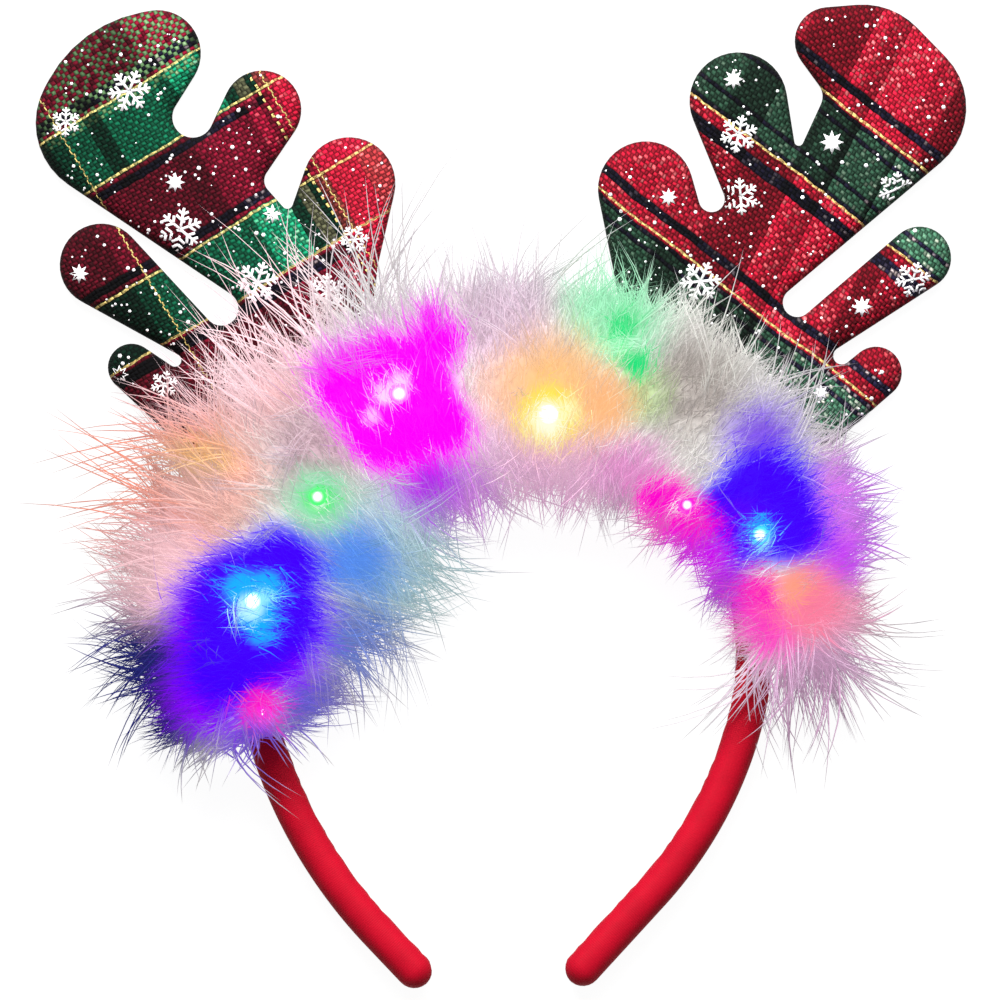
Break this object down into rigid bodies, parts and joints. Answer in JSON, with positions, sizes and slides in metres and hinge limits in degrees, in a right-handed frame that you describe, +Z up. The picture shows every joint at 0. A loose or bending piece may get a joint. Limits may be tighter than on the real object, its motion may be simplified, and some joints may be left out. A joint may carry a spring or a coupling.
{
  "type": "light-up reindeer antler headband",
  "caption": "Sprung headband in a red sleeve with padded tartan reindeer antlers and a white feather boa lit by small coloured bulbs, worn on the head at Christmas",
  "frame": {"origin": "on the floor under the middle of the part's box, as it lies on its back", "axes": "+X to the right as seen from the front, +Y from the hoop's tips to the antlers, +Z up from the floor, out of the headband's front"},
  "size_m": [0.251, 0.2652, 0.0449],
  "materials": {
    "red_sleeve": "smooth woven red sleeve, matt with a soft sheen",
    "tartan_cloth": "coarse woven tartan in red, green, black and yellow with white printed snowflakes",
    "white_feather": "soft white down and fine feather strands, lit from inside by the bulbs",
    "bulb_pink": "clear tinted lens, lit",
    "bulb_blue": "clear tinted lens, lit",
    "bulb_orange": "clear tinted lens, lit",
    "bulb_green": "clear tinted lens, lit",
    "bulb_magenta": "clear tinted lens, lit",
    "bulb_yellow": "clear tinted lens, lit"
  },
  "bodies": {
    "root": {"head_band": "red_sleeve", "antler_left": "tartan_cloth", "antler_right": "tartan_cloth", "feather_boa": "white_feather", "led_1": "bulb_pink", "led_2": "bulb_blue", "led_3": "bulb_orange", "led_4": "bulb_green", "led_5": "bulb_magenta", "led_6": "bulb_yellow", "led_7": "bulb_green", "led_8": "bulb_pink", "led_9": "bulb_blue", "led_10": "bulb_orange"}
  },
  "joints": []
}
